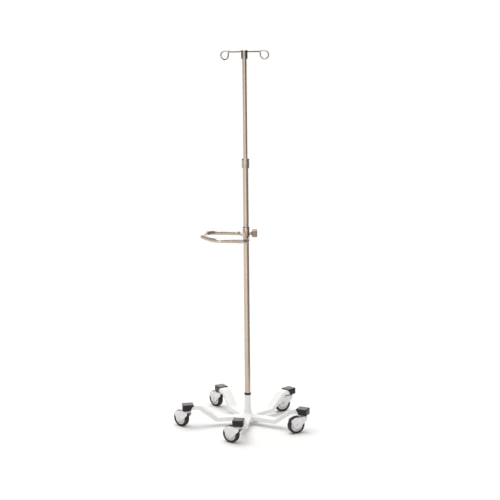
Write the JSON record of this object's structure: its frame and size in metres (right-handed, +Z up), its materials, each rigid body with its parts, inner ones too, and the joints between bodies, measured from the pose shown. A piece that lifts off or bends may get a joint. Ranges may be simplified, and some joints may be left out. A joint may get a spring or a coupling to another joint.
{
  "type": "infusion pole",
  "caption": "Mobile infusion pole: telescopic stainless mast with pigtail hooks, clamped hand loop and a low white star base on swivel castors.",
  "frame": {"origin": "on the pole's axis at floor level, under the middle of the base", "axes": "+Z up along the pole, hand loop towards -X, clamp knob towards +X"},
  "size_m": [0.6, 0.5961, 1.652],
  "materials": {
    "stainless_pole": "satin brushed",
    "stainless_bright": "polished",
    "white_powder": "satin powder coat",
    "black_cap": "semi-gloss",
    "dark_seal": "matt",
    "bush_plastic": "matt",
    "zinc": "bright zinc plated",
    "rim_plastic": "satin",
    "tyre_rubber": "matt",
    "knob_metal": "satin turned"
  },
  "bodies": {
    "stand": {"base_hub": "white_powder", "base_plug": "zinc", "base_bolt": "zinc", "column_tube": "white_powder", "socket_ring": "dark_seal", "outer_tube": "stainless_pole", "tube_ferrule": "stainless_pole", "clamping_collet": "bush_plastic", "leg_1": "white_powder", "end_cap_1": "black_cap", "caster_stem_1": "zinc", "leg_2": "white_powder", "end_cap_2": "black_cap", "caster_stem_2": "zinc", "leg_3": "white_powder", "end_cap_3": "black_cap", "caster_stem_3": "zinc", "leg_4": "white_powder", "end_cap_4": "black_cap", "caster_stem_4": "zinc", "leg_5": "white_powder", "end_cap_5": "black_cap", "caster_stem_5": "zinc"},
    "height_collar": {"height_collar": "stainless_bright"},
    "guide_bush": {"guide_bush": "bush_plastic"},
    "mast": {"inner_tube": "stainless_pole", "tube_plug": "dark_seal", "hook_head": "stainless_bright", "head_set_screw": "zinc", "hook_left": "stainless_bright", "hook_right": "stainless_bright"},
    "handle_liner": {"handle_liner": "dark_seal"},
    "handle": {"handle_sleeve": "stainless_bright", "handle_loop": "stainless_bright"},
    "pressure_pad": {"pressure_pad": "bush_plastic"},
    "clamp_knob": {"clamp_screw": "zinc", "clamp_knob": "knob_metal"},
    "caster_1": {"caster_fork_1": "zinc", "axle_1": "zinc"},
    "wheel_1": {"wheel_rim_1": "rim_plastic", "tyre_1": "tyre_rubber"},
    "caster_2": {"caster_fork_2": "zinc", "axle_2": "zinc"},
    "wheel_2": {"wheel_rim_2": "rim_plastic", "tyre_2": "tyre_rubber"},
    "caster_3": {"caster_fork_3": "zinc", "axle_3": "zinc"},
    "wheel_3": {"wheel_rim_3": "rim_plastic", "tyre_3": "tyre_rubber"},
    "brake_pedal_3": {"brake_pedal_3": "zinc"},
    "caster_4": {"caster_fork_4": "zinc", "axle_4": "zinc"},
    "wheel_4": {"wheel_rim_4": "rim_plastic", "tyre_4": "tyre_rubber"},
    "brake_pedal_4": {"brake_pedal_4": "zinc"},
    "caster_5": {"caster_fork_5": "zinc", "axle_5": "zinc"},
    "wheel_5": {"wheel_rim_5": "rim_plastic", "tyre_5": "tyre_rubber"}
  },
  "joints": [
    {"name": "collar_twist", "type": "hinge", "parent": "stand", "child": "height_collar", "pos_m": [0, 0, 1.17], "axis": [0, 0, 1], "range_deg": [0, 90]},
    {"name": "mast_height", "type": "slide", "parent": "stand", "child": "guide_bush", "axis": [0, 0, 1], "range_m": [-0.4, 0.4]},
    {"name": "mast_turn", "type": "hinge", "parent": "guide_bush", "child": "mast", "pos_m": [0, 0, 1.2], "axis": [0, 0, 1], "continuous": true},
    {"name": "handle_height", "type": "slide", "parent": "stand", "child": "handle_liner", "axis": [0, 0, 1], "range_m": [-0.66, 0.24]},
    {"name": "handle_turn", "type": "hinge", "parent": "handle_liner", "child": "handle", "pos_m": [0, 0, 0.861], "axis": [0, 0, 1], "continuous": true},
    {"name": "pad_travel", "type": "slide", "parent": "handle", "child": "pressure_pad", "axis": [1, 0, 0], "range_m": [0, 0.0025]},
    {"name": "knob_spin", "type": "hinge", "parent": "pressure_pad", "child": "clamp_knob", "pos_m": [0.0355, 0, 0.864], "axis": [1, 0, 0], "range_deg": [0, 720]},
    {"name": "caster_swivel_1", "type": "hinge", "parent": "stand", "child": "caster_1", "pos_m": [0.24278, -0.12264, 0.074], "axis": [0, 0, 1], "continuous": true},
    {"name": "wheel_spin_1", "type": "hinge", "parent": "caster_1", "child": "wheel_1", "pos_m": [0.2099, -0.13728, 0.0375], "axis": [0.4067, -0.9135, 0], "continuous": true},
    {"name": "caster_swivel_2", "type": "hinge", "parent": "stand", "child": "caster_2", "pos_m": [0.19166, 0.193, 0.074], "axis": [0, 0, 1], "continuous": true},
    {"name": "wheel_spin_2", "type": "hinge", "parent": "caster_2", "child": "wheel_2", "pos_m": [0.15805, 0.1801, 0.0375], "axis": [0.3584, -0.9336, 0], "continuous": true},
    {"name": "caster_swivel_3", "type": "hinge", "parent": "stand", "child": "caster_3", "pos_m": [-0.12433, 0.24192, 0.074], "axis": [0, 0, 1], "continuous": true},
    {"name": "wheel_spin_3", "type": "hinge", "parent": "caster_3", "child": "wheel_3", "pos_m": [-0.14795, 0.26909, 0.0375], "axis": [-0.7547, -0.6561, 0], "continuous": true},
    {"name": "brake_press_3", "type": "hinge", "parent": "caster_3", "child": "brake_pedal_3", "pos_m": [-0.1368, 0.25626, 0.0744], "axis": [-0.7547, -0.6561, 0], "range_deg": [0, 3.5]},
    {"name": "caster_swivel_4", "type": "hinge", "parent": "stand", "child": "caster_4", "pos_m": [-0.2685, -0.04349, 0.074], "axis": [0, 0, 1], "continuous": true},
    {"name": "wheel_spin_4", "type": "hinge", "parent": "caster_4", "child": "wheel_4", "pos_m": [-0.29567, -0.01987, 0.0375], "axis": [-0.6561, -0.7547, 0], "continuous": true},
    {"name": "brake_press_4", "type": "hinge", "parent": "caster_4", "child": "brake_pedal_4", "pos_m": [-0.28284, -0.03102, 0.0744], "axis": [-0.6561, -0.7547, 0], "range_deg": [0, 3.5]},
    {"name": "caster_swivel_5", "type": "hinge", "parent": "stand", "child": "caster_5", "pos_m": [-0.04161, -0.2688, 0.074], "axis": [0, 0, 1], "continuous": true},
    {"name": "wheel_spin_5", "type": "hinge", "parent": "caster_5", "child": "wheel_5", "pos_m": [-0.07146, -0.24867, 0.0375], "axis": [-0.5592, -0.829, 0], "continuous": true}
  ],
  "couplings": [
    {"joint": "knob_spin", "follows": "pad_travel", "rad_per_m": 5026.5}
  ]
}
